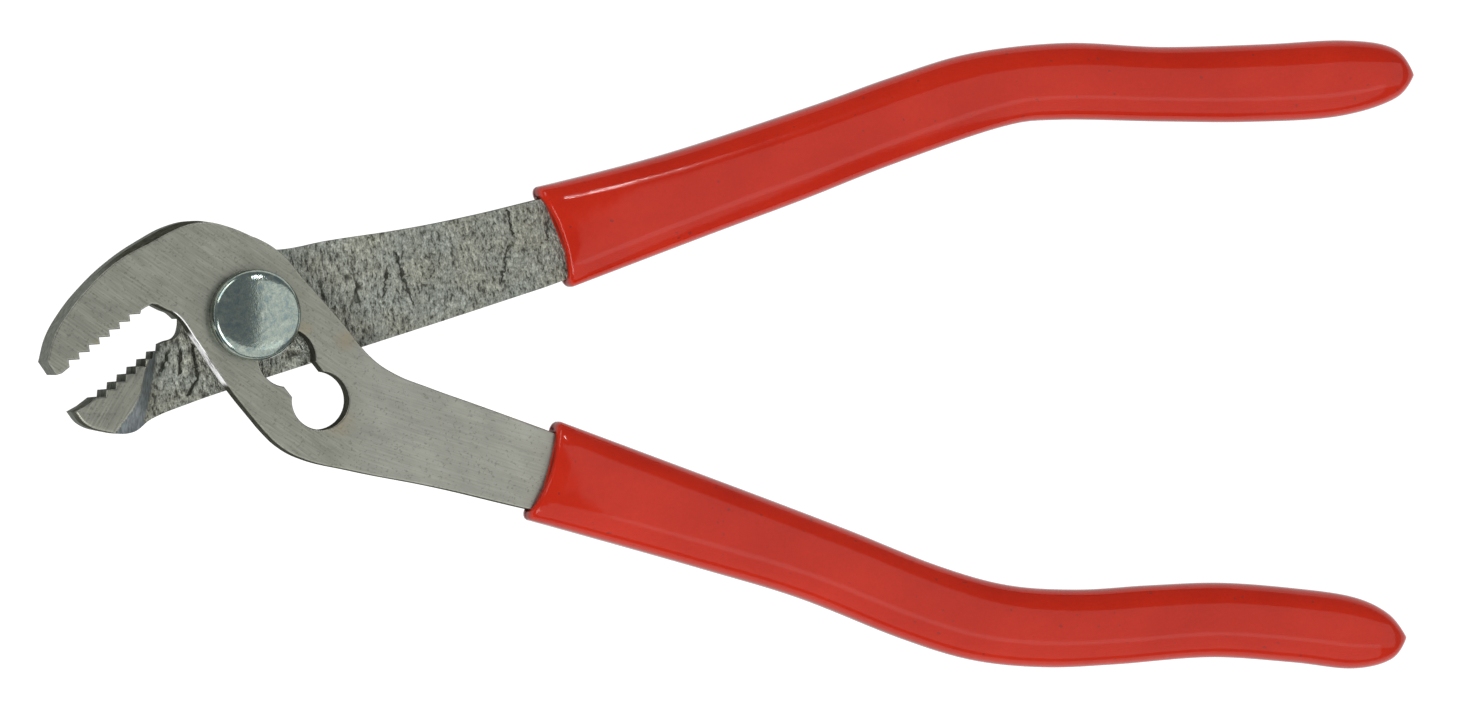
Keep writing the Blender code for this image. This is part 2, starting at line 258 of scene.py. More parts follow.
def polish_shading(piece, angle):
    """Smooth shading up to an angle in degrees, with the large flats kept flat."""
    pick(piece)
    bpy.ops.object.shade_smooth_by_angle(angle=math.radians(angle))
    modifier = piece.modifiers.new("flats", "WEIGHTED_NORMAL")
    modifier.keep_sharp = True
    modifier.weight = 80
    bpy.ops.object.modifier_apply(modifier=modifier.name)


def node(tree, kind, inputs=None, **settings):
    """Add a shader node; an input is a number, a vector, or another node's output."""
    made = tree.nodes.new(kind)
    for key, value in settings.items():
        setattr(made, key, value)
    for key, value in (inputs or {}).items():
        if isinstance(value, bpy.types.NodeSocket):
            tree.links.new(value, made.inputs[key])
        else:
            made.inputs[key].default_value = value
    return made


def new_material(name, roughness, metallic):
    """Material with one Principled shader."""
    material = bpy.data.materials.new(name)
    material.use_nodes = True
    shader = material.node_tree.nodes["Principled BSDF"]
    shader.inputs["Roughness"].default_value = roughness
    shader.inputs["Metallic"].default_value = metallic
    return material, material.node_tree, shader


def grain(tree, size, angle=0.0, detail=2.0, distortion=0.0, shift=0.0):
    """Noise whose blotches are size = (x, y, z) mm, along a direction turned by an angle."""
    coords = node(tree, "ShaderNodeTexCoord")
    mapping = node(tree, "ShaderNodeMapping", {
        "Vector": coords.outputs["Object"], "Location": (shift, 0, 0),
        "Rotation": (0, 0, math.radians(angle)), "Scale": [s * MM for s in size],
    }, vector_type="TEXTURE")
    return node(tree, "ShaderNodeTexNoise", {
        "Vector": mapping.outputs["Vector"], "Scale": 1.0, "Detail": detail,
        "Roughness": 0.55, "Distortion": distortion,
    }).outputs["Fac"]


def ramp(tree, factor, stops):
    """Colour ramp through (position, colour) stops."""
    made = node(tree, "ShaderNodeValToRGB", {"Fac": factor})
    elements = made.color_ramp.elements
    for position, colour in stops[2:]:
        elements.new(position)
    for element, (position, colour) in zip(elements, sorted(stops)):
        element.position = position
        element.color = (*colour, 1) if isinstance(colour, tuple) else (colour, colour, colour, 1)
    return made.outputs["Color"]


def blend_colours(tree, factor, first, second, kind="MIX"):
    """Mix two colours by a factor."""
    mix = node(tree, "ShaderNodeMix", data_type="RGBA", blend_type=kind)
    for index, value in ((0, factor), (6, first), (7, second)):
        if isinstance(value, bpy.types.NodeSocket):
            tree.links.new(value, mix.inputs[index])
        elif index == 0:
            mix.inputs[index].default_value = value
        else:
            mix.inputs[index].default_value = (*value, 1)
    return mix.outputs[2]


def math_node(tree, operation, first, second=0.0, third=0.0, clamp=False):
    """One arithmetic step on numbers or other nodes' outputs."""
    made = node(tree, "ShaderNodeMath", {0: first, 1: second, 2: third}, operation=operation)
    made.use_clamp = clamp
    return made.outputs[0]


def coordinate(tree, axis):
    """One of the object's own coordinates, in metres."""
    coords = node(tree, "ShaderNodeTexCoord")
    split = node(tree, "ShaderNodeSeparateXYZ", {"Vector": coords.outputs["Object"]})
    return split.outputs[axis]


def between(tree, value, low, high):
    """0 below low, 1 above high and smooth in between; in metres."""
    return node(tree, "ShaderNodeMapRange", {
        "Value": value, "From Min": low, "From Max": high,
    }, interpolation_type="SMOOTHSTEP", clamp=True).outputs["Result"]


def near(tree, centre, inner, outer):
    """1 within inner mm of an upright line at a place in mm from the pivot, 0 beyond outer mm."""
    flat = node(tree, "ShaderNodeCombineXYZ", {"X": coordinate(tree, "X"), "Y": coordinate(tree, "Y")})
    place = (PIVOT.x + centre[0] * MM, PIVOT.y + centre[1] * MM, 0.0)
    distance = node(tree, "ShaderNodeVectorMath", {0: flat.outputs["Vector"], 1: place},
                    operation="DISTANCE").outputs["Value"]
    return between(tree, distance, outer * MM, inner * MM)


def bump(tree, shader, height, depth, strength=1.0):
    """Raise the surface by a height pattern, depth mm from its lowest to its highest."""
    made = node(tree, "ShaderNodeBump", {"Height": height, "Strength": strength,
                                         "Distance": depth * MM})
    tree.links.new(made.outputs["Normal"], shader.inputs["Normal"])


def ground_steel(name, neck_angle, joint_angle):
    """Belt-ground tool steel: fine lines along the handle and across the joint, faint stains."""
    material, tree, shader = new_material(name, 0.36, 1.0)
    x = coordinate(tree, "X")
    on_neck = between(tree, x, PIVOT.x + 6 * MM, PIVOT.x + 12 * MM)
    neck_lines = grain(tree, (5.0, 0.16, 1.0), neck_angle)
    joint_lines = grain(tree, (2.6, 0.17, 1.0), joint_angle, shift=0.01)
    lines = node(tree, "ShaderNodeMix", {0: on_neck, 2: joint_lines, 3: neck_lines},
                 data_type="FLOAT").outputs[0]
    cloud = grain(tree, (3.2, 2.0, 2.0), joint_angle, detail=3.0, shift=0.02)
    speck = grain(tree, (0.22, 0.22, 0.22), 0.0, detail=1.0, shift=0.03)
    joint_colour = ramp(tree, lines, [(0.25, (0.27, 0.272, 0.222)), (0.75, (0.385, 0.383, 0.318))])
    neck_colour = ramp(tree, lines, [(0.25, (0.335, 0.33, 0.278)), (0.75, (0.43, 0.423, 0.362))])
    colour = blend_colours(tree, on_neck, joint_colour, neck_colour)
    shade = ramp(tree, cloud, [(0.3, 0.82), (0.7, 1.0)])
    colour = blend_colours(tree, 1.0, colour, shade, "MULTIPLY")
    dark_specks = ramp(tree, speck, [(0.27, 0.72), (0.40, 1.0)])
    colour = blend_colours(tree, 1.0, colour, dark_specks, "MULTIPLY")
    stain_shape = grain(tree, (1.0, 1.0, 1.0), 0.0, detail=3.0, shift=0.04)
    for centre, inner, outer, amount in STAINS:
        reach = math_node(tree, "MULTIPLY", near(tree, centre, inner, outer), stain_shape)
        reach = math_node(tree, "MULTIPLY", reach, amount)
        colour = blend_colours(tree, reach, colour, (0.36, 0.26, 0.13))
    tree.links.new(colour, shader.inputs["Base Color"])
    gloss = node(tree, "ShaderNodeMapRange", {
        "Value": lines, "From Min": 0.3, "From Max": 0.7, "To Min": 0.30, "To Max": 0.42})
    tree.links.new(gloss.outputs["Result"], shader.inputs["Roughness"])
    bump(tree, shader, lines, 0.006, 0.8)
    return material


def forged_wall(name):
    """Matt dark scale on forged edges, rubbed grey at the jaw's tip, ground in the throat with a painted
    white glint and a painted edge highlight.
    """
    material, tree, shader = new_material(name, 0.35, 0.0)
    shader.inputs["Specular IOR Level"].default_value = 0.0
    scale_marks = grain(tree, (0.5, 0.5, 0.25), 0.0, detail=4.0)
    colour = ramp(tree, scale_marks, [(0.3, (0.018, 0.020, 0.014)), (0.7, (0.075, 0.076, 0.058))])
    worn = ramp(tree, scale_marks, [(0.3, (0.080, 0.087, 0.073)), (0.7, (0.190, 0.195, 0.170))])
    z = coordinate(tree, "Z")
    low_band = between(tree, z, (FRONT_BACK + 0.1) * MM, (FRONT_BACK - 0.5) * MM)
    rubbed = math_node(tree, "MAXIMUM", low_band, near(tree, RUBBED_TIP, 4.5, 9.0))
    colour = blend_colours(tree, rubbed, colour, worn)
    # Painted glint: the ground patch at BRIGHT_WALL is painted near white.
    patchy = between(tree, grain(tree, (0.8, 0.8, 0.3), 0.0, detail=3.0, shift=0.05), 0.30, 0.5)
    bright = math_node(tree, "MULTIPLY", near(tree, BRIGHT_WALL, 2.3, 3.0), patchy)
    # Painted highlight: a near-white line along the broken top edge by BRIGHT_EDGE.
    rim = between(tree, z, (FRONT_FACE - 2 * EDGE) * MM, (FRONT_FACE - EDGE) * MM)
    rim = math_node(tree, "MULTIPLY", near(tree, BRIGHT_EDGE, 2.0, BRIGHT_EDGE_REACH), rim)
    bright = math_node(tree, "MAXIMUM", bright, rim)
    colour = blend_colours(tree, bright, colour, (1.0, 0.99, 0.97))
    tree.links.new(colour, shader.inputs["Base Color"])
    bump(tree, shader, scale_marks, 0.04, 0.6)
    return material


def assign_walls(piece):
    """Give walls the piece's second material, and flat faces and their broken edges the first."""
    bright_edge = PIVOT + Vector((*BRIGHT_EDGE, 0)) * MM
    for face in piece.data.polygons:
        reach = Vector((face.center.x - bright_edge.x, face.center.y - bright_edge.y)).length
        # Near BRIGHT_EDGE the broken edge goes to the walls, whose material paints a highlight on it.
        limit = BRIGHT_EDGE_LIMIT if reach < BRIGHT_EDGE_REACH * MM else WALL_LIMIT
        face.material_index = 0 if abs(face.normal.z) > limit else 1


def slot_outline():
    """Keyhole slot: three round seats joined by narrower necks, clockwise as a hole runs."""
    meet = math.degrees(math.asin(NECK_HALF_WIDTH / SEAT_RADIUS))
    points = arc(SEAT_RADIUS, -meet, -360 + meet, END_SEAT_STEPS)
    for seat in range(1, SEAT_COUNT - 1):
        points += arc(SEAT_RADIUS, 180 - meet, meet, SEAT_STEPS, (seat * SEAT_PITCH, 0))
    last_seat = ((SEAT_COUNT - 1) * SEAT_PITCH, 0)
    points += arc(SEAT_RADIUS, 180 - meet, meet - 180, END_SEAT_STEPS, last_seat)
    for seat in range(SEAT_COUNT - 2, 0, -1):
        points += arc(SEAT_RADIUS, -meet, meet - 180, SEAT_STEPS, (seat * SEAT_PITCH, 0))
    along = Vector((math.cos(SLOT_ANGLE), math.sin(SLOT_ANGLE)))
    across = Vector((-along.y, along.x))
    return [tuple(along * u + across * v) for u, v in points]


front_outline = (
    corner(UPPER_TIP)
    + corner(teeth(UPPER_FIRST, UPPER_PITCH, UPPER_ROOT, UPPER_TEETH))
    + corner(UPPER_HEEL)
    + smooth(FRONT_THROAT) + smooth(FRONT_TANG) + smooth(FRONT_BACK_EDGE)
)
front_lever = blank("front_lever_steel", [front_outline, corner(slot_outline())],
                    LEVER_BACK, FRONT_FACE, EDGE)
step_outline = corner(arc(STEP_RADIUS, 200, 128, 25) + [
    (STEP_LEFT, STEP_TOP), (2 * FAR, STEP_TOP), (2 * FAR, -FAR), (STEP_LEFT, -FAR)])
joint_step = blank("joint_step", [step_outline], LEVER_BACK - OVERSHOOT, FRONT_BACK)
combine(front_lever, joint_step, "DIFFERENCE")

bisect_at(front_lever, [FRONT_BACK], (0, 0, 1))
for vertex in front_lever.data.vertices:
    flat = Vector(((vertex.co.x - PIVOT.x) / MM, (vertex.co.y - PIVOT.y) / MM))
    out = flat - DRAFT_CENTRE
    on_jaw_back = out.y > 1.0 and out.length > DRAFT_CLEAR and flat.x < 0
    if on_jaw_back and vertex.co.z > DRAFT_START * MM:
        lean = DRAFT_DEPTH * eased(1 - (flat - DRAFT_AT).length / DRAFT_REACH) + DRAFT_LEAST
        inward = out.normalized() * lean * MM
        vertex.co.x -= inward.x
        vertex.co.y -= inward.y

bisect_at(front_lever, HANDLE_CUTS, (1, 0, 0))
lower_handle(front_lever, FRONT_MIDDLE)
polish_shading(front_lever, 12)
front_lever.data.materials.clear()
front_lever.data.materials.append(ground_steel("ground_steel", -17, -34))
front_lever.data.materials.append(forged_wall("forged_wall"))
assign_walls(front_lever)
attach(front_lever, "front_handle")
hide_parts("front_lever")


# ----------------------------------------------------------------------------------- rear lever
# The lower jaw, the bored boss and the upper handle are the second forging. Its plate is left as
# forged, pitted by scale and creased across, and only the jaw's face is ground smooth.
REAR_FACE = LEVER_BACK + PLATE
REAR_MIDDLE = (LEVER_BACK + REAR_FACE) / 2
BOSS_RADIUS = 6.1
BORE_RADIUS = 1.85

LOWER_TIP = [(-15.8, -8.45), (-14.9, -7.95)]
LOWER_TEETH = 8
LOWER_FIRST = (-7.83, -2.53)
LOWER_PITCH = (-0.869, -0.668)
LOWER_ROOT = (-0.05, -0.6)
LOWER_HEEL = [(-7.3, -2.3)]
BOSS_START = [(-6.4, -1.95)]
REAR_TOP_EDGE = [(2.6, 5.75), (7.65, 6.6), (14.8, 7.7), (20.5, 8.85)]
REAR_TANG = [
    (28.0, 2.95), (35.8, 6.1), (50.2, 11.4), (62.2, 16.1), (68.6, 18.1), (74.0, 18.8),
    (83.5, 18.6), (91.7, 18.6), (99.5, 19.2), (102.2, 21.4), (99.0, 23.5), (93.0, 23.2),
    (83.5, 22.8), (74.5, 23.2), (65.8, 22.1), (58.5, 19.9), (45.0, 15.3), (33.0, 11.9),
    (25.9, 10.15),
]
REAR_BOTTOM_EDGE = [(23.5, 1.45), (10.2, -2.8), (1.9, -5.4)]
JAW_EDGE = [(-5.4, -7.8), (-8.6, -9.1), (-10.4, -10.25), (-13.1, -10.15), (-14.9, -9.5)]

# The slope between the plate and the thicker jaw, as its foot and its crest. Its foot is filleted
# over a share of its rise, and JAW_PITS is the share of the pits left on the ground jaw.
SHOULDER_FOOT = [(-8.2, -1.5), (-8.3, -4.3), (-8.55, -6.2), (-8.9, -8.2), (-9.6, -11.5)]
SHOULDER_CREST = [
    (-9.0, -1.5), (-9.25, -3.7), (-9.7, -4.9), (-10.1, -6.9), (-10.9, -8.3), (-13.4, -11.5),
]
SHOULDER_FILLET = 0.3
JAW_PITS = 0.06

# The pitted skin covers the plate from the jaw to inside the grip, where the tang is cut down.
# It is cut as a grid of cells: shallow waves, slanting pits, and finer pits between them.
SKIN_LOW = (-17.0, -12.0)
SKIN_HIGH = (31.0, 13.5)
SKIN_CELL = 0.17
SKIN_HEADROOM = 1.5
SKIN_WASTE = 4.0
LEAST_DEPTH = 0.015
WAVE_SIZE = 2.5
WAVE_DEPTH = 0.02
PIT_SLANT = 0.15
PIT_SIZE = (0.42, 0.95)
PIT_DEPTH = 0.10
FINE_SIZE = (0.30, 0.45)
FINE_DEPTH = 0.03
TANG_CUT_START = 30.5
TANG_CUT_BOTTOM = REAR_FACE - 0.02

# The pits grow shallower along the handle, by the share CALM.
CALM_START = 8.0
CALM_REACH = 10.0
CALM = 0.45

# Creases, each from one place to another, with its depth. All run a share past both ends.
CREASE_WIDTH = 0.17
CREASE_SPARE = 0.1
CREASE_FADE = 0.25
CREASES = [
    ((9.2, 5.0), (10.1, 0.6), 0.07), ((12.5, 4.4), (12.1, 1.5), 0.09),
    ((13.2, 5.7), (14.8, 0.8), 0.09), ((23.2, 9.4), (23.8, 7.0), 0.10),
    ((23.4, 6.3), (22.7, 2.7), 0.09), ((27.0, 8.6), (26.8, 6.6), 0.08),
    ((-6.0, -2.9), (-6.1, -5.3), 0.14), ((-5.0, -2.5), (-4.4, -5.7), 0.16),
    ((-4.5, -5.6), (-5.4, -7.1), 0.14), ((-7.0, -3.0), (-7.9, -5.2), 0.08),
    ((18.2, 6.6), (18.6, 4.4), 0.05), ((6.4, 3.2), (6.9, 0.4), 0.07),
]

# Painted light round the joint, lifting the skin where the front lever's edges and slot shade it: each
# place, its inner and outer reach, and its gain.
SKIN_PAINTED_LIGHT = [
    ((3.0, -2.8), 2.2, 3.6, 1.6), ((8.0, 3.0), 2.0, 9.0, 1.15), ((-5.0, -4.2), 1.8, 3.4, 1.15),
]

# A face whose normal's upright part is below UPRIGHT is wall anywhere, and below SLANTED it is
# wall where it lies WALL_DROP under the plate's face. Above JAW_RISE over the plate's face, one
# that passes LEVEL or lies JAW_EDGE_DROP from the jaw's face is the jaw's, and others the slope's.
UPRIGHT = 0.2
SLANTED = 0.6
WALL_DROP = 0.3
JAW_RISE = 0.25
LEVEL = 0.97
JAW_EDGE_DROP = 0.2


def follow(points, value):
    """X at a given y of a line through points in falling y, held at its first and last point."""
    value = min(value, points[0][1])
    for (x0, y0), (x1, y1) in zip(points, points[1:]):
        if value >= y1:
            return x0 + (x1 - x0) * (value - y0) / (y1 - y0)
    return points[-1][0]


def pit_depth(x, y):
    """Depth in mm of the forged skin's pits and creases below the plate's face."""
    rough = 1.0 - CALM * eased((x - CALM_START) / CALM_REACH)
    waves = noise.noise(Vector((x / WAVE_SIZE, y / WAVE_SIZE, 1.0)))
    slant = x + PIT_SLANT * y
    pit = noise.noise(Vector((slant / PIT_SIZE[0], y / PIT_SIZE[1], 3.0)))
    fine = noise.noise(Vector((slant / FINE_SIZE[0], y / FINE_SIZE[1], 7.0)))
    pits = PIT_DEPTH * eased((pit - 0.02) / 0.5) + FINE_DEPTH * (fine + 1)
    depth = LEAST_DEPTH + WAVE_DEPTH * (waves + 1) + rough * pits
    for (x0, y0), (x1, y1), deep in CREASES:
        along = (y - y0) / (y1 - y0)
        past_end = min(along, 1 - along) + CREASE_SPARE
        if past_end > 0:
            middle = x0 + (x1 - x0) * along
            profile = math.exp(-((x - middle) / CREASE_WIDTH) ** 2)
            depth += deep * eased(past_end / CREASE_FADE) * profile
    return depth


def skin_height(x, y):
    """Height in mm of the plate's skin, and of the slope that rises to the jaw."""
    foot = follow(SHOULDER_FOOT, y)
    crest = follow(SHOULDER_CREST, y)
    climb = (foot - x) / (foot - crest)
    if climb > SHOULDER_FILLET:
        rise = climb
    else:
        lift = max(0.0, climb + SHOULDER_FILLET)
        rise = lift * lift / (4 * SHOULDER_FILLET)
    height = REAR_FACE + (FRONT_FACE - REAR_FACE) * rise
    calm = eased(1 - climb * 3)
    return min(height - pit_depth(x, y) * max(calm, JAW_PITS), FRONT_FACE + SKIN_HEADROOM)


rear_outline = (
    corner(LOWER_TIP)
    + corner(reversed(teeth(LOWER_FIRST, LOWER_PITCH, LOWER_ROOT, LOWER_TEETH)))
    + corner(LOWER_HEEL)
    + smooth(BOSS_START + arc(BOSS_RADIUS, 190, 95, 6))
    + smooth(REAR_TOP_EDGE)
    + smooth(reversed(REAR_TANG))
    + smooth(REAR_BOTTOM_EDGE + JAW_EDGE)
)
rear_lever = blank("rear_lever_steel", [rear_outline], LEVER_BACK, FRONT_FACE, EDGE)

columns = round((SKIN_HIGH[0] - SKIN_LOW[0]) / SKIN_CELL)
rows = round((SKIN_HIGH[1] - SKIN_LOW[1]) / SKIN_CELL)
deselect()
bpy.ops.mesh.primitive_grid_add(x_subdivisions=columns, y_subdivisions=rows, size=1,
                                location=(0, 0, 0))
skin = bpy.context.object
skin.scale = ((SKIN_HIGH[0] - SKIN_LOW[0]) * MM, (SKIN_HIGH[1] - SKIN_LOW[1]) * MM, 1)
skin.location = (PIVOT.x + (SKIN_LOW[0] + SKIN_HIGH[0]) / 2 * MM,
                 PIVOT.y + (SKIN_LOW[1] + SKIN_HIGH[1]) / 2 * MM, 0)
bpy.ops.object.transform_apply(location=True, rotation=True, scale=True)
for vertex in skin.data.vertices:
    vertex.co.z = skin_height((vertex.co.x - PIVOT.x) / MM, (vertex.co.y - PIVOT.y) / MM) * MM
bpy.ops.object.mode_set(mode="EDIT")
bpy.ops.mesh.select_all(action="SELECT")
bpy.ops.mesh.extrude_region_move(TRANSFORM_OT_translate={"value": (0, 0, SKIN_WASTE * MM)})
bpy.ops.object.mode_set(mode="OBJECT")
close_mesh()
combine(rear_lever, skin, "DIFFERENCE")

# Beyond the skin, the tang is cut down to the plate's thickness.
tang_outline = [(TANG_CUT_START, -FAR), (3 * FAR, -FAR), (3 * FAR, FAR), (TANG_CUT_START, FAR)]
tang_waste = blank("tang_waste", [corner(tang_outline)], TANG_CUT_BOTTOM, FRONT_FACE + OVERSHOOT)
combine(rear_lever, tang_waste, "DIFFERENCE")
bore = blank("bore", [corner(arc(BORE_RADIUS, 0, 352.5, 48))],
             LEVER_BACK - OVERSHOOT, FRONT_FACE + OVERSHOOT)
combine(rear_lever, bore, "DIFFERENCE")
bisect_at(rear_lever, HANDLE_CUTS, (1, 0, 0))
lower_handle(rear_lever, REAR_MIDDLE)


def crease_mask(tree, start, end, half_width):
    """1 along a wandering line between two places in mm from the pivot, 0 beyond its half width."""
    along = node(tree, "ShaderNodeMapRange", {
        "Value": coordinate(tree, "Y"),
        "From Min": PIVOT.y + start[1] * MM, "From Max": PIVOT.y + end[1] * MM,
    }, clamp=False).outputs["Result"]
    middle = math_node(tree, "MULTIPLY_ADD", along, (end[0] - start[0]) * MM, PIVOT.x + start[0] * MM)
    wave = grain(tree, (0.5, 0.5, 0.5), 0, detail=1.0, shift=start[0] * MM)
    sway = math_node(tree, "SUBTRACT", wave, 0.5)
    middle = math_node(tree, "MULTIPLY_ADD", sway, 0.9 * MM, middle)
    offset = math_node(tree, "ABSOLUTE", math_node(tree, "SUBTRACT", coordinate(tree, "X"), middle))
    mask = between(tree, offset, half_width * MM, 0.25 * half_width * MM)
    for low, high in ((-0.06, 0.06), (1.06, 0.94)):
        mask = math_node(tree, "MULTIPLY", mask, between(tree, along, low, high))
    return mask


def forged_skin(name):
    """Forged plate left with its grey-green skin: dark pits, fine creases across the handle, and painted
    light round the joint.
    """
    material, tree, shader = new_material(name, 0.46, 0.6)
    pits = grain(tree, (0.24, 0.50, 0.4), 6, detail=2.0, distortion=0.4)
    fine = grain(tree, (0.13, 0.2, 0.2), 0, detail=2.0, shift=0.02)
    cloud = grain(tree, (4.0, 3.0, 2.0), 0, detail=2.0, shift=0.03)
    colour = ramp(tree, pits, [(0.34, (0.075, 0.075, 0.06)), (0.42, (0.225, 0.23, 0.20)),
                               (0.58, (0.335, 0.34, 0.30)), (0.70, (0.47, 0.47, 0.415))])
    shade = ramp(tree, fine, [(0.36, 0.62), (0.56, 1.0)])
    colour = blend_colours(tree, 1.0, colour, shade, "MULTIPLY")
    depth = node(tree, "ShaderNodeAttribute", attribute_name="pit_depth").outputs["Fac"]
    colour = blend_colours(tree, between(tree, depth, 0.09, 0.20), colour, (0.035, 0.036, 0.026))
    height = math_node(tree, "MULTIPLY_ADD", fine, 0.4, pits)
    for start, end, deep in CREASES:
        darkness = min(1.0, deep * 10)
        mask = math_node(tree, "MULTIPLY", crease_mask(tree, start, end, 0.12), darkness)
        colour = blend_colours(tree, mask, colour, (0.03, 0.03, 0.022))
        height = math_node(tree, "MULTIPLY_ADD", mask, -0.5, height)
    tint = ramp(tree, cloud, [(0.35, (0.97, 1.0, 0.98)), (0.65, (1.0, 0.98, 0.90))])
    colour = blend_colours(tree, 1.0, colour, tint, "MULTIPLY")
    # Painted light: the skin is lifted where the front lever shades it.
    for centre, inner, outer, gain in SKIN_PAINTED_LIGHT:
        lighter = blend_colours(tree, 1.0, colour, (gain, gain, gain), "MULTIPLY")
        colour = blend_colours(tree, near(tree, centre, inner, outer), colour, lighter)
    tree.links.new(colour, shader.inputs["Base Color"])
    bump(tree, shader, height, 0.14, 1.0)
    return material


def shoulder_steel(name):
    """Ground slope beside the jaw, blue-grey and duller than the jaw's face."""
    material, tree, shader = new_material(name, 0.42, 0.5)
    streaks = grain(tree, (0.25, 1.2, 0.5), 12, detail=2.0)
    colour = ramp(tree, streaks, [(0.35, (0.085, 0.10, 0.10)), (0.65, (0.19, 0.215, 0.22))])
    tree.links.new(colour, shader.inputs["Base Color"])
    bump(tree, shader, streaks, 0.02, 0.5)
    return material


depths = rear_lever.data.attributes.new("pit_depth", "FLOAT", "POINT")
for vertex, value in zip(rear_lever.data.vertices, depths.data):
    x = (vertex.co.x - PIVOT.x) / MM
    if abs(vertex.co.z - REAR_FACE * MM) < 0.5 * MM and SHOULDER_FOOT[-1][0] < x < EASE_START:
        value.value = max(0.0, REAR_FACE - vertex.co.z / MM)
polish_shading(rear_lever, 38)
rear_lever.data.materials.clear()
rear_lever.data.materials.append(forged_skin("forged_skin"))
rear_lever.data.materials.append(forged_wall("forged_rear_wall"))
rear_lever.data.materials.append(ground_steel("ground_jaw", 30, 60))
rear_lever.data.materials.append(shoulder_steel("shoulder_steel"))
for face in rear_lever.data.polygons:
    height = face.center.z / MM
    tilt = abs(face.normal.z)
    on_jaw = face.normal.z > LEVEL or height > FRONT_FACE - JAW_EDGE_DROP
    if tilt < UPRIGHT or (tilt < SLANTED and height < REAR_FACE - WALL_DROP):
        face.material_index = 1
    elif height > REAR_FACE + JAW_RISE:
        face.material_index = 2 if on_jaw else 3
    else:
        face.material_index = 0
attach(rear_lever, "rear_handle")
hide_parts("rear_lever")


# ---------------------------------------------------------------------------------------- grips
# Each grip is soft vinyl, built up by dipping the hot handle into liquid plastic. It is thick and
# rounded at the mouth, crowned along its faces, and closed round the handle's end.
GRIP_RINGS = 110
RING_SIDES = 64
POCKET_GAP = 0.03

# The lip, from inside the mouth outwards, as how far each ring is drawn in and pushed forward.
# The mouth's middle is bowed along the handle, which fades out over BOW_FADE.
LIP = ((0.95, 0.12), (0.75, 0.0), (0.5, -0.02), (0.27, 0.07), (0.1, 0.22), (0.02, 0.42))
LIP_END = 0.6
BOW = 0.65
BOW_FADE = 3.0

# The sections are squarer at the mouth than along the handle, and the far end is rounded off.
MOUTH_SQUARENESS = 3.4
GRIP_SQUARENESS = 2.5
SQUARENESS_FADE = 12.0
END_ROUND = 3.4

# The upper face stands a little lower at the mouth, rises, and drops again along the handle.
CROWN_LOW = 0.05
CROWN_RISE = 8.0
CROWN_START = 11.0
CROWN_FALL = 30.0
CROWN_DROP = 0.08

# Normals flatter than this count towards the grips' sides, which the vinyl darkens as painted shade.
SIDE_SHADE_TILT = 0.5

FRONT_GRIP_TOP = [
    (27.2, -9.2), (35.2, -12.1), (46.6, -16.2), (54.5, -19.1), (62.6, -22.2), (69.2, -24.0),
    (75.8, -24.45), (82.4, -24.1), (89.0, -23.9), (95.7, -24.4), (101.3, -25.2), (104.6, -26.7),
    (106.4, -28.9),
]
FRONT_GRIP_BOTTOM = [
    (24.4, -17.95), (29.7, -19.4), (40.9, -22.5), (49.8, -25.1), (59.2, -28.7), (65.9, -30.7),
    (72.5, -31.4), (79.1, -31.2), (88.0, -30.6), (95.7, -31.1), (101.3, -31.7), (104.9, -30.9),
    (106.4, -28.9),
]
REAR_GRIP_TOP = [
    (25.8, 11.25), (37.7, 14.3), (51.1, 18.6), (58.5, 21.2), (65.8, 23.4), (74.5, 24.4),
    (83.5, 24.1), (93.0, 24.4), (100.6, 24.8), (105.2, 24.1), (107.1, 21.7),
]
REAR_GRIP_BOTTOM = [
    (28.9, 2.35), (41.4, 7.0), (50.2, 10.2), (58.5, 13.4), (68.6, 16.8), (74.0, 17.5),
    (83.5, 17.4), (91.7, 17.4), (99.8, 17.9), (105.2, 19.5), (107.1, 21.7),
]

# Each pocket is cut by its handle's tang, run on past the grip's mouth.
FRONT_POCKET = FRONT_TANG + [(16.0, -6.4), (16.0, -15.0)]
REAR_POCKET = REAR_TANG + [(16.0, 8.0), (16.0, -0.9)]


def even_walk(points, shares):
    """Points at shares of the length of a smooth line through given points."""
    line = []
    padded = [points[0]] + list(points) + [points[-1]]
    for i in range(len(points) - 1):
        p0, p1, p2, p3 = (Vector(p) for p in padded[i:i + 4])
        for step in range(16):
            t = step / 16
            line.append(0.5 * (2 * p1 + (p2 - p0) * t + (2 * p0 - 5 * p1 + 4 * p2 - p3) * t * t
                               + (3 * p1 - p0 - 3 * p2 + p3) * t ** 3))
    line.append(Vector(points[-1]))
    lengths = [0.0]
    for a, b in zip(line, line[1:]):
        lengths.append(lengths[-1] + (b - a).length)
    found = []
    for share in shares:
        want = share * lengths[-1]
        i = max(k for k in range(len(lengths) - 1) if lengths[k] <= want + 1e-9)
        part = (want - lengths[i]) / max(lengths[i + 1] - lengths[i], 1e-9)
        found.append(line[i].lerp(line[i + 1], min(part, 1.0)))
    return found


def power(value, exponent):
    """Signed power, for the grips' squared-off oval sections."""
    return math.copysign(abs(value) ** exponent, value)


def crown(travelled):
    """Share of the full height that a grip's upper face reaches, fullest a little past the mouth."""
    rise = eased(travelled / CROWN_RISE)
    fall = eased((travelled - CROWN_START) / CROWN_FALL)
    return 1 - CROWN_LOW * (1 - rise) - CROWN_DROP * fall


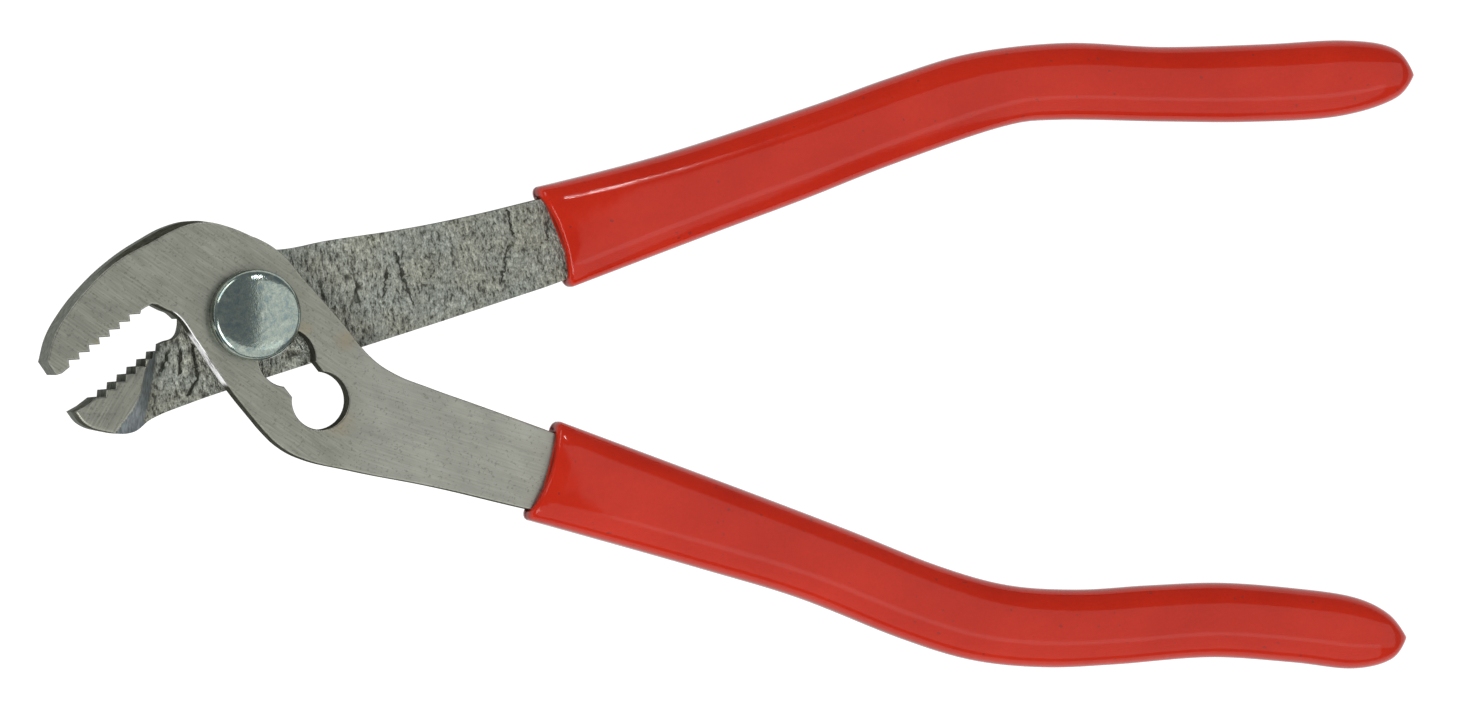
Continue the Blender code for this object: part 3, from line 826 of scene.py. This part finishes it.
def grip_ring(top, bottom, middle, half_thickness, exponent, shrink, forward, bow, full):
    """One section of a grip: a squared oval across the handle, pushed along it by forward."""
    centre = (top + bottom) / 2
    across = (top - bottom) / 2
    width = max(across.length - shrink, 0.02)
    unit = across.normalized()
    ahead = Vector((unit.y, -unit.x))
    points = []
    for side in range(RING_SIDES):
        angle = 2 * math.pi * side / RING_SIDES
        c = power(math.cos(angle), 2 / exponent)
        s = power(math.sin(angle), 2 / exponent)
        push = forward + bow * (1 - c * c)
        flat = centre + unit * width * c + ahead * push
        z = middle + max(half_thickness - shrink, 0.02) * s * (full if s > 0 else 1.0)
        points.append((PIVOT.x + flat.x * MM, PIVOT.y + flat.y * MM, z * MM))
    return points


def grip_rings(top_edge, bottom_edge, middle):
    """Sections of a grip from its lip to its rounded end, closest together at both ends."""
    shares = [(i / GRIP_RINGS) ** 0.9 for i in range(GRIP_RINGS + 1)]
    shares = [1 - (1 - share) ** 1.5 for share in shares]
    tops = even_walk(top_edge, shares)
    bottoms = even_walk(bottom_edge, shares)
    half = GRIP_THICKNESS / 2
    mouth = (tops[0] + bottoms[0]) / 2
    tip = (tops[-1] + bottoms[-1]) / 2
    rings = []
    for shrink, forward in LIP:
        rings.append(grip_ring(tops[0], bottoms[0], middle, half, MOUTH_SQUARENESS,
                               shrink, forward, BOW, crown(0)))
    for top, bottom in zip(tops, bottoms):
        centre = (top + bottom) / 2
        travelled = (centre - mouth).length
        if travelled < LIP_END:
            continue
        inside_end = max(0.0, 1 - (centre - tip).length / END_ROUND)
        close = math.sqrt(max(0.0, 1 - inside_end ** 2))
        extra = (MOUTH_SQUARENESS - GRIP_SQUARENESS) * math.exp(-travelled / SQUARENESS_FADE)
        bow = BOW * math.exp(-travelled / BOW_FADE)
        rings.append(grip_ring(top, bottom, middle, half * max(close, 0.01), GRIP_SQUARENESS + extra,
                               0.0, 0.0, bow, crown(travelled)))
    return rings


def dipped_grip(name, top_edge, bottom_edge, pocket_outline, middle):
    """Skin a grip over its sections, cut the handle's pocket and lower it with the handle."""
    rings = grip_rings(top_edge, bottom_edge, middle)
    verts = [point for ring in rings for point in ring]
    faces = []
    for k in range(len(rings) - 1):
        for side in range(RING_SIDES):
            after = (side + 1) % RING_SIDES
            faces.append((k * RING_SIDES + side, k * RING_SIDES + after,
                          (k + 1) * RING_SIDES + after, (k + 1) * RING_SIDES + side))
    faces.append(tuple(range(RING_SIDES)))
    faces.append(tuple(reversed(range((len(rings) - 1) * RING_SIDES, len(rings) * RING_SIDES))))
    mesh = bpy.data.meshes.new(name)
    mesh.from_pydata(verts, [], faces)
    piece = bpy.data.objects.new(name, mesh)
    bpy.context.scene.collection.objects.link(piece)
    pick(piece)
    close_mesh()
    pocket_depth = PLATE / 2 + POCKET_GAP
    pocket = blank(name + "_pocket", [smooth(pocket_outline)], middle - pocket_depth,
                   middle + pocket_depth, steps=8)
    combine(piece, pocket, "DIFFERENCE")
    lower_handle(piece, middle)
    polish_shading(piece, 50)
    # Painted shade: each vertex is marked by how far its normal leans from upright, so the vinyl can
    # darken the grips' sides.
    side_shade = piece.data.attributes.new("edge", "FLOAT", "POINT")
    for vertex, value in zip(piece.data.vertices, side_shade.data):
        value.value = max(0.0, 1 - abs(vertex.normal.z) / SIDE_SHADE_TILT)
    piece.data.materials.clear()
    piece.data.materials.append(dipped_vinyl)
    return piece


def red_vinyl(name):
    """Soft red dipping plastic: slightly uneven colour, glossy skin, a few specks, and painted shade on
    the sides.
    """
    material, tree, shader = new_material(name, 0.1, 0.0)
    cloud = grain(tree, (9.0, 6.0, 6.0), 15, detail=3.0)
    mottle = grain(tree, (0.35, 0.35, 0.35), 0, detail=2.0, shift=0.02)
    speck = grain(tree, (0.5, 0.5, 0.5), 0, detail=0.0, shift=0.05)
    colour = ramp(tree, cloud, [(0.3, (0.46, 0.014, 0.002)), (0.7, (0.54, 0.020, 0.004))])
    shade = ramp(tree, mottle, [(0.3, 0.93), (0.7, 1.0)])
    colour = blend_colours(tree, 1.0, colour, shade, "MULTIPLY")
    dust = ramp(tree, speck, [(0.17, 1.0), (0.185, 0.0)])
    colour = blend_colours(tree, dust, colour, (0.30, 0.02, 0.012))
    # Painted shade: the sides are darkened by the edge attribute, and their specular level is turned
    # down there.
    edge = node(tree, "ShaderNodeAttribute", attribute_name="edge").outputs["Fac"]
    colour = blend_colours(tree, math_node(tree, "MULTIPLY", edge, 0.85), colour, (0.07, 0.008, 0.005))
    tree.links.new(colour, shader.inputs["Base Color"])
    tree.links.new(math_node(tree, "MULTIPLY_ADD", edge, -0.26, 0.26, clamp=True),
                   shader.inputs["Specular IOR Level"])
    skin_waves = grain(tree, (1.6, 1.2, 1.2), 0, detail=1.0, shift=0.04)
    height = math_node(tree, "MULTIPLY_ADD", mottle, 0.12, skin_waves)
    bump(tree, shader, height, 0.05, 0.2)
    shader.inputs["Subsurface Weight"].default_value = 0.06
    shader.inputs["Subsurface Radius"].default_value = (1.0, 0.25, 0.15)
    shader.inputs["Subsurface Scale"].default_value = 0.6 * MM
    return material


dipped_vinyl = red_vinyl("dipped_vinyl")
for name, top_edge, bottom_edge, pocket_outline, middle, body in (
        ("front_grip_vinyl", FRONT_GRIP_TOP, FRONT_GRIP_BOTTOM, FRONT_POCKET, FRONT_MIDDLE,
         "front_handle"),
        ("rear_grip_vinyl", REAR_GRIP_TOP, REAR_GRIP_BOTTOM, REAR_POCKET, REAR_MIDDLE,
         "rear_handle")):
    grip = dipped_grip(name, top_edge, bottom_edge, pocket_outline, middle)
    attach(grip, body)
    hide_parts(name.replace("_vinyl", ""))


# ----------------------------------------------------------------------------------- pivot bolt
# A cold-headed bolt with a low domed head, a flatted shoulder that runs in the slot, and a
# threaded end for the nut. It is zinc plated and bright.
HEAD_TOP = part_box("pivot_bolt")[1].z / MM
BOLT_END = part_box("pivot_bolt")[0].z / MM
HEAD_RADIUS = 4.0
UNDER_HEAD = FRONT_FACE + 0.05
SHOULDER_RADIUS = 2.35
FLAT_HALF_WIDTH = 1.62
FLAT_CUTTER = (8.0, 2.0)
THREAD_CREST = 1.6
THREAD_ROOT = 1.36
THREAD_PITCH = 0.5
THREAD_CHAMFER = 0.3

# The head's lower edge, as steps in from its rim and up from its underside, then the round of its
# rim, and then its shallow dome.
HEAD_FOOT = [(0.2, 0.0), (0.04, 0.06), (0.0, 0.18)]
ROLL_RADIUS = 0.75
ROLL_DROP = 0.06
DOME_RADIUS = 3.15
DOME_DROP = 0.27
DOME_SHARES = (1.0, 0.92, 0.84, 0.74, 0.62, 0.5, 0.38, 0.26, 0.14, 0.04)


def turned(name, rings, sides=128):
    """Turn a solid on the pivot's axis, raising one ring of vertices through (radius, height)."""
    deselect()
    start_radius, start_height = rings[0]
    bpy.ops.mesh.primitive_circle_add(vertices=sides, radius=start_radius * MM, fill_type="NGON",
                                      location=(PIVOT.x, PIVOT.y, start_height * MM))
    piece = bpy.context.object
    piece.name = name
    bpy.ops.object.transform_apply(location=True, rotation=True, scale=True)
    bpy.ops.object.mode_set(mode="EDIT")
    bpy.ops.mesh.select_all(action="SELECT")
    for (radius, height), (next_radius, next_height) in zip(rings, rings[1:]):
        rise = (next_height - height) * MM
        bpy.ops.mesh.extrude_region_move(TRANSFORM_OT_translate={"value": (0, 0, rise)})
        grow = next_radius / radius
        bpy.ops.transform.resize(value=(grow, grow, 1), center_override=(PIVOT.x, PIVOT.y, 0))
    bpy.ops.object.mode_set(mode="OBJECT")
    close_mesh()
    return piece


def thread(crest, root, pitch, bottom, top):
    """Zigzag rings of a thread between two heights."""
    rings = []
    height = bottom
    while height + pitch <= top:
        rings += [(crest, height + 0.1 * pitch), (root, height + 0.5 * pitch),
                  (crest, height + 0.9 * pitch)]
        height += pitch
    return rings


def bar(name, length, width, bottom, top, x, y, angle):
    """A straight cutter between two heights, its middle x and y mm from the pivot, at an angle."""
    deselect()
    bpy.ops.mesh.primitive_cube_add(size=1, rotation=(0, 0, angle), location=(
        PIVOT.x + x * MM, PIVOT.y + y * MM, (top + bottom) / 2 * MM))
    piece = bpy.context.object
    piece.name = name
    piece.scale = (length * MM, width * MM, (top - bottom) * MM)
    bpy.ops.object.transform_apply(location=True, rotation=True, scale=True)
    return piece


def bright_zinc(name):
    """Bright zinc plate: crystalline mottling in grey and blue, with fine handling marks."""
    material, tree, shader = new_material(name, 0.16, 1.0)
    mottle = grain(tree, (0.55, 0.55, 0.5), 20, detail=4.0, distortion=0.6)
    marks = grain(tree, (0.12, 0.16, 0.12), 0, detail=2.0, shift=0.02)
    colour = ramp(tree, mottle, [(0.30, (0.19, 0.25, 0.25)), (0.52, (0.29, 0.335, 0.29)),
                                 (0.72, (0.38, 0.41, 0.355))])
    shade = ramp(tree, marks, [(0.3, 0.78), (0.6, 1.0)])
    colour = blend_colours(tree, 1.0, colour, shade, "MULTIPLY")
    tree.links.new(colour, shader.inputs["Base Color"])
    gloss = node(tree, "ShaderNodeMapRange", {
        "Value": mottle, "From Min": 0.3, "From Max": 0.7, "To Min": 0.17, "To Max": 0.09})
    tree.links.new(gloss.outputs["Result"], shader.inputs["Roughness"])
    bump(tree, shader, math_node(tree, "MULTIPLY_ADD", marks, 0.5, mottle), 0.02, 0.5)
    return material


foot = [(HEAD_RADIUS - inset, UNDER_HEAD + rise) for inset, rise in HEAD_FOOT]
roll = arc(ROLL_RADIUS, 0, 80, 9,
           (HEAD_RADIUS - ROLL_RADIUS, HEAD_TOP - DOME_DROP - ROLL_DROP - ROLL_RADIUS))
dome = [(DOME_RADIUS * share, HEAD_TOP - DOME_DROP * share * share) for share in DOME_SHARES]
bolt_rings = (
    [(THREAD_CREST - THREAD_CHAMFER, BOLT_END), (THREAD_CREST, BOLT_END + THREAD_CHAMFER)]
    + thread(THREAD_CREST, THREAD_ROOT, THREAD_PITCH, BOLT_END + THREAD_CHAMFER + 0.05, REAR_FACE)
    + [(THREAD_CREST, FRONT_BACK), (SHOULDER_RADIUS, FRONT_BACK + 0.02),
       (SHOULDER_RADIUS, UNDER_HEAD - 0.02)]
    + foot + roll + dome
)
pivot_bolt = turned("pivot_bolt_zinc", bolt_rings)
for side in (-1, 1):
    reach = side * (FLAT_HALF_WIDTH + FLAT_CUTTER[1] / 2)
    cutter = bar("flat_cutter", *FLAT_CUTTER, FRONT_BACK - 0.1, UNDER_HEAD - 0.2,
                 -reach * math.sin(SLOT_ANGLE), reach * math.cos(SLOT_ANGLE), SLOT_ANGLE)
    combine(pivot_bolt, cutter, "DIFFERENCE")
polish_shading(pivot_bolt, 40)
pivot_bolt.data.materials.clear()
pivot_bolt.data.materials.append(bright_zinc("bright_zinc"))
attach(pivot_bolt, "pivot")
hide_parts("pivot_bolt")


# ------------------------------------------------------------------------------------ pivot nut
# A thin hexagon nut under the rear lever holds the bolt. Its corners are turned off on both
# sides, its bore is tapped, and it is zinc plated like the bolt.
NUT_ACROSS_FLATS = 6.35
NUT_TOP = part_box("pivot_nut")[1].z / MM
NUT_BEVEL = 0.3
NUT_FACE_RADIUS = NUT_ACROSS_FLATS / 2 - 0.15
NUT_MINOR = 1.66
NUT_MAJOR = 1.88
COUNTERSINK_RADIUS = NUT_MAJOR + 0.35

corner_radius = NUT_ACROSS_FLATS / 2 / math.cos(math.radians(30))
deselect()
bpy.ops.mesh.primitive_cylinder_add(vertices=6, radius=corner_radius * MM, depth=NUT_TOP * MM,
                                    location=(PIVOT.x, PIVOT.y, NUT_TOP / 2 * MM))
pivot_nut = bpy.context.object
pivot_nut.name = "pivot_nut_zinc"
bpy.ops.object.transform_apply(location=True, rotation=True, scale=True)
turned_blank = turned("nut_corners", [
    (NUT_FACE_RADIUS, 0.0), (corner_radius + 0.05, NUT_BEVEL),
    (corner_radius + 0.05, NUT_TOP - NUT_BEVEL), (NUT_FACE_RADIUS, NUT_TOP)], 96)
combine(pivot_nut, turned_blank, "INTERSECT")
tap = turned("nut_tap", [(COUNTERSINK_RADIUS, -0.2), (NUT_MINOR, 0.24)]
             + thread(NUT_MAJOR, NUT_MINOR, THREAD_PITCH, 0.25, NUT_TOP - 0.2)
             + [(NUT_MINOR, NUT_TOP - 0.15), (COUNTERSINK_RADIUS, NUT_TOP + 0.2)], 64)
combine(pivot_nut, tap, "DIFFERENCE")
polish_shading(pivot_nut, 30)
pivot_nut.data.materials.clear()
pivot_nut.data.materials.append(bright_zinc("nut_zinc"))
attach(pivot_nut, "pivot")
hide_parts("pivot_nut")


# -------------------------------------------------------------------- bench, lights and camera
# A plain white bench. Two soft lights stand low on the left, a broad one overhead to the right and
# a broad fill on the near side, and a small close lamp draws the highlight along the upper grip.
# The camera looks down on the tool from a little to the left.
BENCH_SIZE = 6.0
BENCH_DROP = 0.1
deselect()
bpy.ops.mesh.primitive_plane_add(size=BENCH_SIZE, location=(0, 0, -BENCH_DROP * MM))
bench = bpy.context.object
bench.name = "bench"
material, tree, shader = new_material("white_bench", 0.9, 0.0)
shader.inputs["Base Color"].default_value = (0.15, 0.15, 0.15, 1)
shader.inputs["Emission Color"].default_value = (1, 1, 1, 1)
shader.inputs["Emission Strength"].default_value = 1.02
shader.inputs["Specular IOR Level"].default_value = 0.0
bench.data.materials.append(material)

world = bpy.data.worlds.new("studio")
bpy.context.scene.world = world
world.use_nodes = True
world.node_tree.nodes["Background"].inputs["Color"].default_value = (0.86, 0.93, 1.0, 1)
world.node_tree.nodes["Background"].inputs["Strength"].default_value = 0.36


def soft_light(name, azimuth, elevation, distance, width, height, radiance):
    """Rectangular light aimed at the tool; azimuth is from +X towards +Y, in degrees."""
    lamp = bpy.data.lights.new(name, "AREA")
    lamp.shape = "RECTANGLE"
    lamp.size = width
    lamp.size_y = height
    lamp.energy = radiance * math.pi * width * height
    light = bpy.data.objects.new(name, lamp)
    a, e = math.radians(azimuth), math.radians(elevation)
    towards = Vector((math.cos(a) * math.cos(e), math.sin(a) * math.cos(e), math.sin(e)))
    light.location = towards * distance
    light.rotation_euler = towards.to_track_quat("Z", "Y").to_euler()
    bpy.context.scene.collection.objects.link(light)


soft_light("overhead_right", 0, 52, 1.2, 1.1, 1.3, 0.98)
soft_light("left_back", 138, 27, 1.2, 0.8, 0.4, 3.4)
soft_light("left_front", 217, 40, 1.2, 0.75, 0.5, 5.0)
soft_light("near_side_fill", 275, 45, 1.2, 1.2, 1.2, 0.95)
soft_light("streak", 84.8, 56.5, 0.3325, 0.008, 0.045, 45.0)

CAMERA_TILT = math.radians(13.5)
CAMERA_DISTANCE = 1.0
CAMERA_LENS = 278.6
CAMERA_AIM = (43.62, -3.63, 3.0)
aim = Vector((PIVOT.x, PIVOT.y, 0)) + Vector(CAMERA_AIM) * MM
camera_data = bpy.data.cameras.new("camera")
camera_data.sensor_width = 36
camera_data.lens = CAMERA_LENS
camera = bpy.data.objects.new("camera", camera_data)
camera.location = aim + Vector((-math.sin(CAMERA_TILT), 0, math.cos(CAMERA_TILT))) * CAMERA_DISTANCE
camera.rotation_euler = (0, -CAMERA_TILT, 0)
bpy.context.scene.collection.objects.link(camera)
bpy.context.scene.camera = camera
bpy.context.scene.view_settings.view_transform = "Standard"
